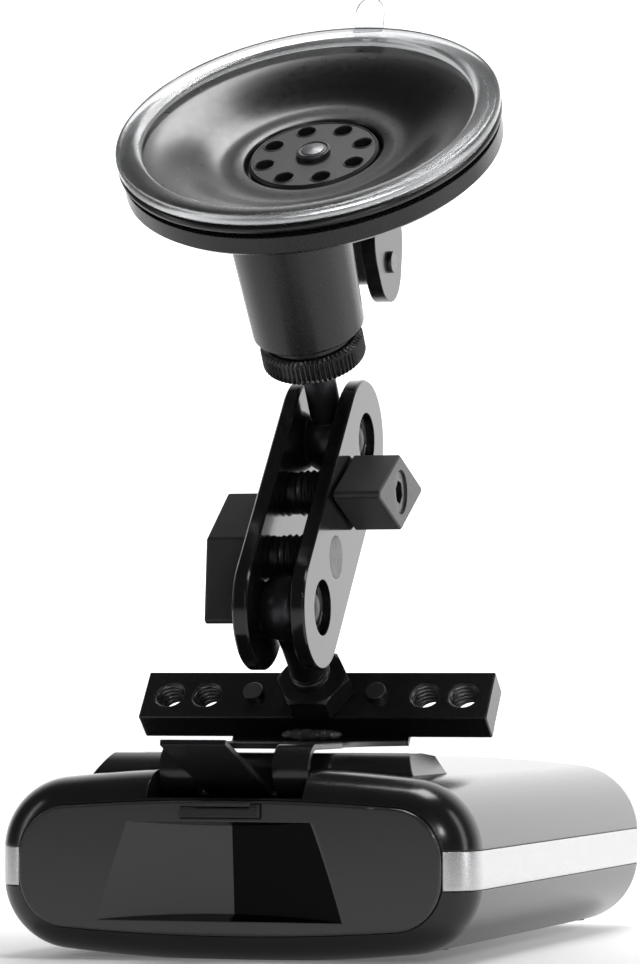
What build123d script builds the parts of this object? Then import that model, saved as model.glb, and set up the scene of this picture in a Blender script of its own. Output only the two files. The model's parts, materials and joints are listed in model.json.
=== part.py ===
from build123d import *
import os
from math import atan2, cos, degrees, pi, radians, sin

# Windscreen radar and laser detector hung from a suction-cup arm.
# Millimetres. +Z up, the sensor face looks along -Y, origin at the middle of the flat base.

# ---------------------------------------------------------------- driving dimensions
CASE_W = 89.4
CASE_H = 34.0
FRONT_Y = -69.0
BACK_Y = 65.5
CASE_CROWN = 3.0            # rise of the domed top above its corners
CASE_SIDE_CROWN = 1.5
CASE_CORNER_R = 13.0
FRONT_EDGE_R = 8.5
BACK_EDGE_R = 9.0
BASE_FLAT_DEPTH = 0.4       # the domed bottom is cut this deep to give a flat base
WALL = 2.2
GAP = 0.15                  # assembly gap between neighbouring case pieces
FIT = 0.05                  # radial clearance of a running fit

BAND_Z = 16.3
BAND_H = 6.8
BAND_T = 1.0

PANEL_W = 78.7
PANEL_Z = (4.4, 28.4)
PANEL_CROWN = 1.8
PANEL_SIDE_CROWN = 0.9
PANEL_R = 9.0
PANEL_T = 2.4
SCOOP_Z = (7.0, 24.6)
SCOOP_DEPTH = (3.4, 1.9)    # at its lower and upper ends
SCOOP_R = 80.0
SCOOP_X = -1.4
SCOOP_HALF_W = 24.0

BAR_TILT = 39.2             # elevation of the hole face, towards -Y
BAR_FACE = Vector(0, -14.2, 46.8)
BAR_L = 68.5
BAR_W = 11.1
BAR_T = 6.0
BAR_X = -0.6                # the bar sits slightly to the left of the stud
BRACKET_X = -0.8
BAR_HOLE_X = (21.6, 29.0)
BAR_HOLE_R = 3.0            # tapping size of M7
BAR_SCREW_X = 12.1
BAR_SCREW_R = 1.95          # M4

BALL_R = 6.2
NECK_R = 3.6
STUD_LENGTH = 25.5          # hole face of the bar to the lower ball centre
NUT_FLATS = 12.4
NUT_H = 5.0

ARM_LEAN = 41.3             # from vertical, away from the sensor face
ARM_LENGTH = 42.9
PLATE_R = 11.5
PLATE_T = 2.9
PLATE_GAP = 8.1
BALL_SEAT_R = 4.55
SEAT_MOUTH_R = 5.2
CLAMP_INSET = (13.8, 12.6)   # ball centre to clamp screw, upper and lower
CLAMP_R = 3.95              # M8
KNOB_LONG = 30.5
KNOB_SHORT = 14.2
KNOB_T = 9.2
KNOB_STANDOFF = 0.25
KNOB_TURN = (4.0, 60.0)     # long diagonal above +Y, upper knob and lower knob

CUP_TILT = 35.5             # from vertical, towards -Y
RING_Z = (18.2, 23.2)       # above the upper ball centre, along the post
RING_R = 9.9
POST_BOTTOM = 25.0
POST_R = (10.6, 11.4)
RIM_Z = 58.1
CUP_OFFSET = 21.6           # cup axis to post axis
RIM_R = 36.8
GEL_T = 2.0
HUB_R = 12.5
HUB_DEPTH = 7.7
HUB_T = 2.6
HUB_HOLES = 8
PIN_DEPTH = 31.7            # lever pin below the rim plane
BOSS_DEPTH = 18.2           # flat of the dish boss below the rim plane
CHEEK_X = (8.2, 11.0)       # inner and outer face of each cam cheek

SHEET_T = 1.0               # bracket sheet
SLOT_Z = 29.4               # middle of the bracket tongue
PLATE_Z = 37.7              # middle of the bracket's flat run
CURL_Y = -58.0

os.makedirs("parts", exist_ok=True)


# ---------------------------------------------------------------- small helpers
def save(shape, name):
    """Write one sub-part."""
    export_step(shape, f"parts/{name}.step")


def box(x, y, z):
    """A box from three (low, high) pairs."""
    middle = [(low + high) / 2 for low, high in (x, y, z)]
    size = [high - low for low, high in (x, y, z)]
    return Pos(*middle) * Box(*size)


def rod(radius, low, high, x=0.0, y=0.0):
    """A cylinder along local Z between two heights."""
    return Pos(x, y, (low + high) / 2) * Cylinder(radius, high - low)


def cross_rod(radius, low, high, y=0.0, z=0.0):
    """A cylinder along X between two X positions."""
    return Pos((low + high) / 2, y, z) * Rot(0, 90, 0) * Cylinder(radius, high - low)


def depth_rod(radius, low, high, x=0.0, z=0.0):
    """A cylinder along Y between two Y positions."""
    return Pos(x, (low + high) / 2, z) * Rot(90, 0, 0) * Cylinder(radius, high - low)


def turned(*corners):
    """A solid of revolution about local Z from (radius, height) corners."""
    return revolve(Plane.XZ * make_face(Polyline(*corners, close=True)), Axis.Z)


def group(solids):
    """Several separate solids kept in one sub-part."""
    return Compound(children=list(solids))


# ---------------------------------------------------------------- frames of the mount
def tilted(angle):
    """Unit vector in the YZ plane, leaning from +Z towards +Y by an angle in degrees."""
    return Vector(0, sin(radians(angle)), cos(radians(angle)))


BAR_NORMAL = tilted(BAR_TILT - 90)
ARM_AXIS = tilted(ARM_LEAN)
CUP_AXIS = tilted(-CUP_TILT)
CROSS = Vector(1, 0, 0)

LOWER_BALL = BAR_FACE + BAR_NORMAL * STUD_LENGTH
UPPER_BALL = LOWER_BALL + ARM_AXIS * ARM_LENGTH
bar_frame = Plane(origin=BAR_FACE, x_dir=CROSS, z_dir=BAR_NORMAL)
arm_frame = Plane(origin=LOWER_BALL, x_dir=ARM_AXIS, z_dir=CROSS)
post_frame = Plane(origin=UPPER_BALL, x_dir=CROSS, z_dir=CUP_AXIS)
cup_frame = post_frame * Pos(0, CUP_OFFSET, RIM_Z)


# ---------------------------------------------------------------- housing
def domed_outline(half_w, half_h, crown, side_crown, corner):
    """A rectangle with four slightly domed sides and rounded corners."""
    side = half_w - side_crown
    flat = half_h - crown
    arcs = Curve() + [
        ThreePointArc((-side, flat), (0, half_h), (side, flat)),
        ThreePointArc((side, flat), (half_w, 0), (side, -flat)),
        ThreePointArc((side, -flat), (0, -half_h), (-side, -flat)),
        ThreePointArc((-side, -flat), (-half_w, 0), (-side, flat)),
    ]
    face = make_face(arcs)
    return fillet(face.vertices(), corner)


CASE_MID_Z = (CASE_H - BASE_FLAT_DEPTH) / 2


def case_slab(inset, front, back):
    """The housing's cross-section, moved inwards, run along Y from front to back."""
    half_h = (CASE_H + BASE_FLAT_DEPTH) / 2
    section = domed_outline(CASE_W / 2 - inset, half_h - inset, CASE_CROWN, CASE_SIDE_CROWN,
                            CASE_CORNER_R - inset)
    return extrude(Plane.XZ.offset(-front) * Pos(0, CASE_MID_Z) * section, front - back)


def case_block(inset=0.0):
    """The housing's outer shape, moved inwards, with its front and rear rims rounded."""
    block = case_slab(inset, FRONT_Y + inset, BACK_Y - inset)
    ends = block.faces().sort_by(Axis.Y)
    block = fillet(ends[0].edges(), FRONT_EDGE_R - inset)
    return fillet(block.faces().sort_by(Axis.Y)[-1].edges(), BACK_EDGE_R - inset)


def housing_block():
    """The outer shape of the housing, cut flat underneath."""
    return case_block() - box((-CASE_W, CASE_W), (2 * FRONT_Y, 2 * BACK_Y), (-CASE_H, 0))


def panel_slab(slack, front, back):
    """The sensor panel's outline run along Y."""
    half_h = (PANEL_Z[1] - PANEL_Z[0]) / 2
    section = domed_outline(PANEL_W / 2 + slack, half_h + slack, PANEL_CROWN, PANEL_SIDE_CROWN,
                            PANEL_R + slack)
    middle = (PANEL_Z[0] + PANEL_Z[1]) / 2
    return extrude(Plane.XZ.offset(-front) * Pos(0, middle) * section, front - back)


def half_of(solid, low, high):
    """The part of a solid between two heights."""
    return solid & box((-CASE_W, CASE_W), (2 * FRONT_Y, 2 * BACK_Y), (low, high))


# ---------------------------------------------------------------- bracket slot, used by the case too
SLOT_HALF_W = 14.6
TONGUE_HALF_W = 14.0
TONGUE_BACK_Y = -45.0
NOTCH_BACK_Y = -56.5
POCKET_H = 1.4


def slot_pocket():
    """The space that the bracket's tongue slides in, open at the front and down to the panel."""
    pocket = box((-SLOT_HALF_W, SLOT_HALF_W), (2 * FRONT_Y, TONGUE_BACK_Y + 1),
                 (SLOT_Z - POCKET_H / 2, SLOT_Z + POCKET_H / 2))
    notch = box((-SLOT_HALF_W, SLOT_HALF_W), (2 * FRONT_Y, NOTCH_BACK_Y),
                (PANEL_Z[1] + 2 * GAP, CASE_H + 1))
    return Pos(BRACKET_X, 0, 0) * (pocket + notch)


# ---------------------------------------------------------------- case shells
DISPLAY_X = -7.0
DISPLAY_W = 34.0
DISPLAY_H = 10.0
DISPLAY_Z = 19.0
BUTTON_X = (-20.0, -10.0, 10.0, 20.0)
BUTTON_W = 6.0
BUTTON_H = 3.2
BUTTON_Z = 10.8
JACK_X = 21.0
JACK_Z = 19.0
JACK_W = 9.8
JACK_H = 6.8
JACK_DEPTH = 11.0
SCREW_XY = [(x, y) for x in (-33.0, 33.0) for y in (-50.0, 50.0)]
SCREW_SEAT_Z = 3.6
SPEAKER_R = 13.0
SPEAKER_Y = 30.0


def panel_recess():
    """Pocket in the front that takes the sensor panel and the block behind its scoop."""
    return panel_slab(GAP, 2 * FRONT_Y, FRONT_Y + PANEL_T) + scoop_block(1.0)


def scoop_block(slack):
    """The thick block behind the scoop of the sensor panel."""
    return box((SCOOP_X - SCOOP_HALF_W - slack, SCOOP_X + SCOOP_HALF_W + slack),
               (FRONT_Y + 1.0, FRONT_Y + SCOOP_DEPTH[0] + 1.6 + slack),
               (SCOOP_Z[0] - 1.0 - slack, SCOOP_Z[1] + 1.0 + slack))


def rear_openings():
    """Display window, button and power-jack openings in the rear wall."""
    back = (BACK_Y - WALL - 4, BACK_Y + 1)
    cuts = box((DISPLAY_X - DISPLAY_W / 2 - GAP, DISPLAY_X + DISPLAY_W / 2 + GAP), back,
               (DISPLAY_Z - DISPLAY_H / 2 - GAP, DISPLAY_Z + DISPLAY_H / 2 + GAP))
    cuts += box((JACK_X - JACK_W / 2 - 1, JACK_X + JACK_W / 2 + 1), back,
                (JACK_Z - JACK_H / 2 - 1, JACK_Z + JACK_H / 2 + 1))
    for x in BUTTON_X:
        cuts += box((x - BUTTON_W / 2 - 0.2, x + BUTTON_W / 2 + 0.2), back,
                    (BUTTON_Z - BUTTON_H / 2 - 0.2, BUTTON_Z + BUTTON_H / 2 + 0.2))
    return cuts


def band_recess(side, slack):
    """The groove along one flank that takes the side band."""
    low = BAND_Z - BAND_H / 2 - slack
    high = BAND_Z + BAND_H / 2 + slack
    skin = case_slab(-1, FRONT_Y - 1, BACK_Y + 1) - case_block(BAND_T + slack)
    edge = sorted((side * (PANEL_W / 2 + GAP), side * CASE_W))
    return skin & box(edge, (2 * FRONT_Y, BACK_Y - 6), (low, high))


def case_shell():
    """The hollow housing with its slot, panel recess, band grooves and openings."""
    cavity = case_block(WALL)
    front_land = box((-CASE_W, CASE_W), (2 * FRONT_Y, FRONT_Y + PANEL_T + 2), (-1, CASE_H))
    slot_land = box((BRACKET_X - SLOT_HALF_W - 2, BRACKET_X + SLOT_HALF_W + 2),
                    (2 * FRONT_Y, TONGUE_BACK_Y + 3),
                    (SLOT_Z - POCKET_H / 2 - 1.6, CASE_H))
    cavity = cavity - front_land - slot_land
    shell = housing_block() - cavity - panel_recess() - slot_pocket() - rear_openings()
    shell = shell - release_opening(GAP)
    for side in (-1, 1):
        shell = shell - band_recess(side, GAP)
    return shell


def make_case():
    """Upper and lower case shells, their side bands and the screws that join them."""
    shell = case_shell()
    split = BAND_Z
    core = case_block(WALL / 2)
    bosses = [rod(3.2, 0, split - GAP, x, y) & core for x, y in SCREW_XY]
    posts = [rod(3.2, split + GAP, CASE_H, x, y) & core for x, y in SCREW_XY]
    lower = half_of(shell, 0, split)
    for boss in bosses:
        lower = lower + boss
    for x, y in SCREW_XY:
        lower = lower - rod(1.4, -1, split + 1, x, y) - rod(2.6, -1, SCREW_SEAT_Z, x, y)
    grille = [rod(1.0, -1, WALL + 1, x, SPEAKER_Y + y) for x in (-8, -4, 0, 4, 8) for y in (-4, 0, 4)]
    for hole in grille:
        lower = lower - hole
    upper = half_of(shell, split, CASE_H + 1)
    for post in posts:
        upper = upper + post
    for x, y in SCREW_XY:
        upper = upper - rod(1.2, split - 1, split + 8, x, y)
    save(lower, "lower_case")
    save(upper, "upper_case")
    head_low = SCREW_SEAT_Z - 2.0
    drive = Box(0.6, 3.4, 0.8) + Box(3.4, 0.6, 0.8)
    screws = [rod(2.4, head_low, SCREW_SEAT_Z - 0.1, x, y) + rod(1.15, SCREW_SEAT_Z - 0.1, split + 7, x, y)
              - Pos(x, y, head_low + 0.3) * drive for x, y in SCREW_XY]
    save(group(screws), "case_screws")
    for side, name in ((-1, "side_band_left"), (1, "side_band_right")):
        groove = band_recess(side, 0) & housing_block()
        save(groove, name)


# ---------------------------------------------------------------- sensor panel and release bar
RELEASE_X = (-8.6, 6.3)
RELEASE_Z = (25.3, 27.1)
RELEASE_PROUD = 0.9
RELEASE_TRAVEL = 1.2
RELEASE_PIN_R = 0.6
RELEASE_PIN_W = 1.8
SCOOP_SLOPE = 0.35          # slope of the scoop's floor and ceiling


def release_opening(slack):
    """Room for the release bar and its pin, through the panel and into the land behind it."""
    back = FRONT_Y + PANEL_T + RELEASE_TRAVEL + 0.3
    room = box((RELEASE_X[0] - slack, RELEASE_X[1] + slack), (2 * FRONT_Y, back),
               (RELEASE_Z[0] - slack, RELEASE_Z[1] + slack))
    return room + box((RELEASE_X[1] - RELEASE_PIN_W - slack, RELEASE_X[1] + slack), (2 * FRONT_Y, back),
                      (RELEASE_Z[0], RELEASE_Z[1] + RELEASE_PIN_R + slack))


def scoop_cutter():
    """A leaning cylinder that hollows the panel, between a sloping floor and ceiling."""
    height = SCOOP_Z[1] - SCOOP_Z[0]
    lean = degrees(atan2(SCOOP_DEPTH[0] - SCOOP_DEPTH[1], height))
    low = (FRONT_Y + SCOOP_DEPTH[0] - SCOOP_R / cos(radians(lean)), SCOOP_Z[0])
    leaning = Pos(SCOOP_X, *low) * Rot(lean, 0, 0) * Cylinder(SCOOP_R, 4 * CASE_H)
    reach = 6.0
    wedge = make_face(Polyline(
        (FRONT_Y - 1, SCOOP_Z[0]),
        (FRONT_Y, SCOOP_Z[0]),
        (FRONT_Y + reach, SCOOP_Z[0] + reach * SCOOP_SLOPE),
        (FRONT_Y + reach, SCOOP_Z[1] - reach * SCOOP_SLOPE),
        (FRONT_Y, SCOOP_Z[1]),
        (FRONT_Y - 1, SCOOP_Z[1]),
        close=True))
    return leaning & Pos(-CASE_W, 0, 0) * extrude(Plane.YZ * wedge, 2 * CASE_W)


def make_front():
    """Glossy sensor panel with its scoop, and the release bar over it."""
    panel = panel_slab(0, FRONT_Y, FRONT_Y + PANEL_T - GAP)
    panel = fillet(panel.faces().sort_by(Axis.Y)[0].edges(), 0.5)
    save(panel + scoop_block(0) - scoop_cutter() - release_opening(GAP), "front_panel")

    bar = box(RELEASE_X, (FRONT_Y - RELEASE_PROUD, FRONT_Y + PANEL_T), RELEASE_Z)
    bar = fillet(bar.faces().sort_by(Axis.Y)[0].edges(), 0.3)
    pin = cross_rod(RELEASE_PIN_R, RELEASE_X[1] - RELEASE_PIN_W, RELEASE_X[1],
                    FRONT_Y - RELEASE_PROUD + RELEASE_PIN_R, RELEASE_Z[1])
    save(bar + pin, "release_button")


# ---------------------------------------------------------------- electronics
BOARD_Z = (10.0, 11.6)
BOARD_X = 38.0
BOARD_Y = 56.0
HORN_X = -16.5
HORN_Z = 19.4


def horn(mouth, throat, y_mouth, y_throat, x, z):
    """A tapered rectangular tube from mouth to throat, as a solid."""
    ends = [Plane.XZ.offset(-y_mouth) * Pos(x, z) * Rectangle(*mouth),
            Plane.XZ.offset(-y_throat) * Pos(x, z) * Rectangle(*throat)]
    return loft(Sketch() + ends)


def make_electronics():
    """The circuit board and what is soldered or clipped to it."""
    board = box((-BOARD_X, BOARD_X), (-BOARD_Y, BOARD_Y), BOARD_Z)
    for x, y in SCREW_XY:
        board = board - rod(3.5, 0, CASE_H, x, y)
    save(board, "main_board")

    outer = horn((22.0, 14.4), (11.0, 8.0), -58.0, -30.0, HORN_X, HORN_Z)
    inner = horn((20.6, 13.0), (9.6, 6.6), -58.2, -29.8, HORN_X, HORN_Z)
    guide = box((HORN_X - 5.5, HORN_X + 5.5), (-30.0, -14.0), (HORN_Z - 4.0, HORN_Z + 4.0))
    guide -= box((HORN_X - 4.8, HORN_X + 4.8), (-31.0, -15.0), (HORN_Z - 3.3, HORN_Z + 3.3))
    foot = box((HORN_X - 3.0, HORN_X + 3.0), (-28.0, -16.0), (BOARD_Z[1], HORN_Z - 4.0))
    save((outer - inner) + guide + foot, "horn_antenna")

    lens_y = -57.0
    barrel = depth_rod(7.0, lens_y, lens_y + 16, 8.0, 18.6)
    barrel = barrel - depth_rod(5.8, lens_y - 1, lens_y + 13, 8.0, 18.6)
    save(barrel, "laser_sensor")
    dome = Pos(8.0, lens_y + 11.0, 18.6) * Sphere(10.2)
    lens = depth_rod(5.7, lens_y + 0.6, lens_y + 4.0, 8.0, 18.6) & dome
    save(lens, "laser_lens")

    save(box((12.0, 30.0), (-6.0, 12.0), (BOARD_Z[1], 15.8)), "gps_antenna")
    frame = rod(SPEAKER_R, WALL + GAP, 4.0, 0, SPEAKER_Y)
    magnet = rod(7.5, 4.0, 8.4, 0, SPEAKER_Y)
    save(frame + magnet - rod(10.5, WALL, 2.9, 0, SPEAKER_Y), "speaker")


# ---------------------------------------------------------------- driver's side
def make_rear():
    """Display, its window, the push buttons and the power jack."""
    back = BACK_Y
    half_w = DISPLAY_W / 2
    half_h = DISPLAY_H / 2
    save(box((DISPLAY_X - half_w, DISPLAY_X + half_w), (back - 1.9, back - 0.2),
             (DISPLAY_Z - half_h, DISPLAY_Z + half_h)), "display_window")
    save(box((DISPLAY_X - half_w, DISPLAY_X + half_w), (back - 6.5, back - 2.6),
             (DISPLAY_Z - half_h, DISPLAY_Z + half_h)), "display_module")
    for number, x in enumerate(BUTTON_X, 1):
        key = box((x - BUTTON_W / 2, x + BUTTON_W / 2), (back - 4.2, back + 0.8),
                  (BUTTON_Z - BUTTON_H / 2, BUTTON_Z + BUTTON_H / 2))
        key = fillet(key.faces().sort_by(Axis.Y)[-1].edges(), 0.4)
        save(key, f"button_{number}")
    shell = box((JACK_X - JACK_W / 2 - 0.9, JACK_X + JACK_W / 2 + 0.9), (back - JACK_DEPTH - 1, back - 0.3),
                (JACK_Z - JACK_H / 2 - 0.9, JACK_Z + JACK_H / 2 + 0.9))
    mouth = box((JACK_X - JACK_W / 2, JACK_X + JACK_W / 2), (back - JACK_DEPTH, back),
                (JACK_Z - JACK_H / 2, JACK_Z + JACK_H / 2))
    save(shell - mouth, "power_jack")


ISLAND_X = (31.2, 28.2)      # half width at the base and at the top
ISLAND_BASE = 31.0
ISLAND_TOP = 36.4
ISLAND_FRONT_Y = -56.0
ISLAND_CREST_Y = -42.0
ISLAND_BACK_Y = -32.0


def make_island():
    """The low raised antenna cover on top: a curved front, sloping ends and a short back."""
    side = Curve() + [
        ThreePointArc((ISLAND_FRONT_Y, ISLAND_BASE), (ISLAND_FRONT_Y + 3.6, ISLAND_TOP - 1.6),
                      (ISLAND_CREST_Y, ISLAND_TOP)),
        Line((ISLAND_CREST_Y, ISLAND_TOP), (ISLAND_BACK_Y - 2.5, ISLAND_TOP - 0.6)),
        Line((ISLAND_BACK_Y - 2.5, ISLAND_TOP - 0.6), (ISLAND_BACK_Y, ISLAND_BASE)),
        Line((ISLAND_BACK_Y, ISLAND_BASE), (ISLAND_FRONT_Y, ISLAND_BASE)),
    ]
    ridge = Pos(-CASE_W / 2, 0, 0) * extrude(Plane.YZ * make_face(side), CASE_W)
    ends = make_face(Polyline((-ISLAND_X[0], ISLAND_BASE), (ISLAND_X[0], ISLAND_BASE),
                              (ISLAND_X[1], ISLAND_TOP), (-ISLAND_X[1], ISLAND_TOP), close=True))
    ridge = ridge & Pos(0, 2 * BACK_Y, 0) * extrude(Plane.XZ * ends, 4 * BACK_Y)
    save(ridge - case_slab(-0.01, FRONT_Y, BACK_Y), "antenna_cover")


# ---------------------------------------------------------------- bracket, bar and lower stud
FLANGE_HALF_W = 17.4
FLARE_Y = -42.0              # behind this the plate widens to the flange
PRONG_X = (7.2, 14.0)
TAB_HALF_W = 6.0
TAB_RISE = 19.2
TAB_LENGTH = 28.9
CURL_R = (PLATE_Z - SLOT_Z) / 2
FLANGE_UP = 3.0


def sheet(path, low, high):
    """Sheet metal along a path in the YZ plane, between two X positions."""
    strip = Plane.YZ * trace(path, SHEET_T)
    return Pos(low, 0, 0) * extrude(strip, high - low)


def make_bracket():
    """The formed sheet that hooks into the case and carries the bar."""
    up = tilted(BAR_TILT)
    rear = BAR_FACE - BAR_NORMAL * (BAR_T + SHEET_T / 2)
    top = rear + up * FLANGE_UP
    bend = rear - up * ((rear.Z - PLATE_Z) / up.Z)
    curl_mid = SLOT_Z + CURL_R
    flange = Curve() + [Line((top.Y, top.Z), (bend.Y, bend.Z))]
    curl = Curve() + [ThreePointArc((CURL_Y, PLATE_Z), (CURL_Y - CURL_R, curl_mid), (CURL_Y, SLOT_Z))]
    tongue = Curve() + [Line((CURL_Y, SLOT_Z), (TONGUE_BACK_Y, SLOT_Z))]
    tab_end = (CURL_Y - TAB_LENGTH * cos(radians(TAB_RISE)), SLOT_Z + TAB_LENGTH * sin(radians(TAB_RISE)))
    tab = Curve() + [Line((CURL_Y, SLOT_Z), tab_end)]
    left, right = BRACKET_X - TONGUE_HALF_W, BRACKET_X + TONGUE_HALF_W
    bend_y = bend.Y
    flare = Curve() + [
        Line((left, CURL_Y), (right, CURL_Y)),
        Line((right, CURL_Y), (right, FLARE_Y)),
        ThreePointArc((right, FLARE_Y), (right + 0.8, bend_y - 6.0), (FLANGE_HALF_W, bend_y)),
        Line((FLANGE_HALF_W, bend_y), (-FLANGE_HALF_W, bend_y)),
        ThreePointArc((-FLANGE_HALF_W, bend_y), (left - 0.5, bend_y - 6.0), (left, FLARE_Y)),
        Line((left, FLARE_Y), (left, CURL_Y)),
    ]
    body = sheet(flange, -FLANGE_HALF_W, FLANGE_HALF_W)
    body += Pos(0, 0, PLATE_Z - SHEET_T / 2) * extrude(make_face(flare), SHEET_T)
    body += cross_rod(SHEET_T / 2, -FLANGE_HALF_W, FLANGE_HALF_W, bend_y, PLATE_Z)
    body += sheet(tongue, left, right)
    body += sheet(tab, BRACKET_X - TAB_HALF_W, BRACKET_X + TAB_HALF_W)
    body += cross_rod(SHEET_T / 2, BRACKET_X - TAB_HALF_W, BRACKET_X + TAB_HALF_W, CURL_Y, SLOT_Z)
    for side in (-1, 1):
        low, high = sorted((side * PRONG_X[0], side * PRONG_X[1]))
        body += sheet(curl, BRACKET_X + low, BRACKET_X + high)
    body = body - box((BRACKET_X - PRONG_X[0], BRACKET_X + PRONG_X[0]), (CURL_Y - 6, CURL_Y + 8),
                      (PLATE_Z - 1, PLATE_Z + 1))
    for side in (-1, 1):
        body = body - bar_frame * rod(BAR_SCREW_R + FIT, -BAR_T - 2, 0, BAR_X + side * BAR_SCREW_X)
    body = body - bar_frame * rod(NECK_R + 0.4, -BAR_T - 2, 0)
    save(body, "mount_bracket")
    bead = box((-6.6, 6.6), (-20.4, -17.0), (PLATE_Z + SHEET_T / 2, 40.4))
    save(fillet(bead.faces().sort_by(Axis.Z)[-1].edges(), 1.0), "bonding_bead")


def make_bar():
    """The drilled bar with the two screws that hold it to the bracket."""
    bar = box((BAR_X - BAR_L / 2, BAR_X + BAR_L / 2), (-BAR_W / 2, BAR_W / 2), (-BAR_T, 0))
    bar = chamfer(bar.edges(), 0.25)
    for side in (-1, 1):
        for x in BAR_HOLE_X:
            bar = bar - rod(BAR_HOLE_R, -BAR_T - 1, 1, BAR_X + side * x)
        bar = bar - rod(BAR_SCREW_R, -BAR_T - 1, 1, BAR_X + side * BAR_SCREW_X)
    bar = bar - rod(NECK_R, -BAR_T - 1, 1)
    save(bar_frame * bar, "cross_bar")

    back = -BAR_T - SHEET_T
    socket = extrude(RegularPolygon(1.5, 6), 1.6)
    screws = []
    for x in (BAR_X - BAR_SCREW_X, BAR_X + BAR_SCREW_X):
        screw = rod(BAR_SCREW_R, back, 1.3, x) + rod(3.4, back - 2.4, back, x)
        screws.append(screw - Pos(x, 0, back - 2.4) * socket)
    save(group([bar_frame * screw for screw in screws]), "bracket_screws")

    nut = extrude(RegularPolygon(NUT_FLATS / 2, 6, major_radius=False), NUT_H)
    across = NUT_FLATS / cos(pi / 6) / 2
    cone = turned((0, 0), (across - 0.9, 0), (across, 0.5), (across, NUT_H - 0.5),
                  (across - 0.9, NUT_H), (0, NUT_H))
    nut = (nut & cone) - rod(NECK_R, -1, NUT_H + 1)
    save(bar_frame * Pos(0, 0, 0.1) * nut, "jam_nut")


THREAD_R = NECK_R - FIT


def make_lower_stud():
    """Ball stud screwed through the bar, up to the ball at its far end."""
    stud = Pos(0, 0, STUD_LENGTH) * Sphere(BALL_R)
    stud += rod(THREAD_R, -BAR_T + 0.3, STUD_LENGTH - 3)
    save(bar_frame * stud, "lower_ball_stud")


# ---------------------------------------------------------------- arm
CLAMP_AT = (ARM_LENGTH - CLAMP_INSET[0], CLAMP_INSET[1])


def arm_plate(side):
    """One side plate, with a ball seat let into its inner face at each end."""
    inner = PLATE_GAP / 2
    outer = inner + PLATE_T
    low, high = sorted((side * inner, side * outer))
    blank = rod(PLATE_R, low, high) + rod(PLATE_R, low, high, ARM_LENGTH)
    blank += box((0, ARM_LENGTH), (-PLATE_R, PLATE_R), (low, high))
    blank = chamfer(blank.faces().filter_by(Axis.Z).edges(), 0.35)
    seat_r = BALL_R * 2 ** 0.5 + 0.07 - inner
    for x in (0, ARM_LENGTH):
        seat = turned((0, 0), (seat_r + inner, 0), (BALL_SEAT_R, seat_r + inner - BALL_SEAT_R),
                      (BALL_SEAT_R, inner + 0.8), (SEAT_MOUTH_R, inner + 1.2), (SEAT_MOUTH_R, outer + 1),
                      (0, outer + 1))
        if side < 0:
            seat = Rot(180, 0, 0) * seat
        blank = blank - Pos(x, 0, 0) * seat
    return blank


def knob_prism(turn):
    """The diamond-shaped knob about its own axis, one face at z = 0."""
    diamond = make_face(Polyline((KNOB_LONG / 2, 0), (0, KNOB_SHORT / 2),
                                 (-KNOB_LONG / 2, 0), (0, -KNOB_SHORT / 2), close=True))
    diamond = fillet(diamond.vertices(), 0.8)
    prism = extrude(diamond, KNOB_T)
    prism = chamfer(prism.faces().filter_by(Axis.Z).edges(), 0.3)
    prism = prism - rod(4.2, KNOB_T - 0.4, KNOB_T + 1)
    return Rot(0, 0, turn) * prism


def make_arm():
    """Two plates, the clamp screws across them and their knobs."""
    outer = PLATE_GAP / 2 + PLATE_T
    for side, name in ((-1, "arm_plate_left"), (1, "arm_plate_right")):
        plate = arm_plate(side)
        for x in CLAMP_AT:
            plate = plate - rod(CLAMP_R + FIT, -outer - 1, outer + 1, x)
        save(arm_frame * plate, name)

    knob_low = outer + KNOB_STANDOFF
    lean = 90 - ARM_LEAN
    socket = extrude(RegularPolygon(2.3, 6), 3.5)
    for level, (x, side, name) in enumerate(((CLAMP_AT[0], 1, "upper"), (CLAMP_AT[1], -1, "lower"))):
        facing = Rot(0, 0, 0) if side > 0 else Rot(180, 0, 0)
        turn = lean - KNOB_TURN[level] if side < 0 else -(lean - KNOB_TURN[level])
        knob = Pos(x, 0, 0) * facing * Pos(0, 0, knob_low) * knob_prism(turn)
        screw = rod(CLAMP_R, -outer, knob_low + KNOB_T - 0.4)
        screw = screw - Pos(0, 0, knob_low + KNOB_T - 0.4 - 3.5) * socket
        screw = Pos(x, 0, 0) * facing * screw
        knob = knob - screw - Pos(x, 0, 0) * facing * Pos(0, 0, knob_low) * rod(CLAMP_R, -1, KNOB_T)
        save(arm_frame * knob, f"{name}_knob")
        save(arm_frame * screw, f"{name}_clamp_screw")


# ---------------------------------------------------------------- upper stud, ring and post
UPPER_NECK_R = 3.1
UPPER_THREAD_R = 4.0
UPPER_THREAD_TOP = 34.0
DISH_DEPTH = 8.9
DISH_R = 36.2
BOSS_R = (20.5, 13.5)        # top and bottom radius of the boss under the dish


def make_upper_stud():
    """Ball stud, the knurled lock ring on it and the hollow post above."""
    stud = Sphere(BALL_R) + rod(UPPER_NECK_R, 3, RING_Z[0] - 0.4)
    stud += rod(UPPER_THREAD_R, RING_Z[0] - 0.4, UPPER_THREAD_TOP)
    save(post_frame * stud, "upper_ball_stud")

    low, high = RING_Z
    ring = turned((0, low), (RING_R - 0.7, low), (RING_R, low + 0.7), (RING_R, high - 0.6),
                  (RING_R - 0.6, high), (0, high))
    ring = ring - rod(UPPER_THREAD_R + FIT, low - 1, high + 1)
    save(post_frame * ring, "lock_ring")

    top = RIM_Z - DISH_DEPTH
    post = turned((0, high + 0.15), (POST_R[0] - 2.2, high + 0.15), (POST_R[0] - 2.2, POST_BOTTOM),
                  (POST_R[0] - 0.7, POST_BOTTOM), (POST_R[0], POST_BOTTOM + 0.7), (POST_R[1], top),
                  (0, top))
    post = post - rod(UPPER_THREAD_R + FIT, low, UPPER_THREAD_TOP + 1)
    save(post_frame * post - cup_frame * boss_column(), "post")


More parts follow.
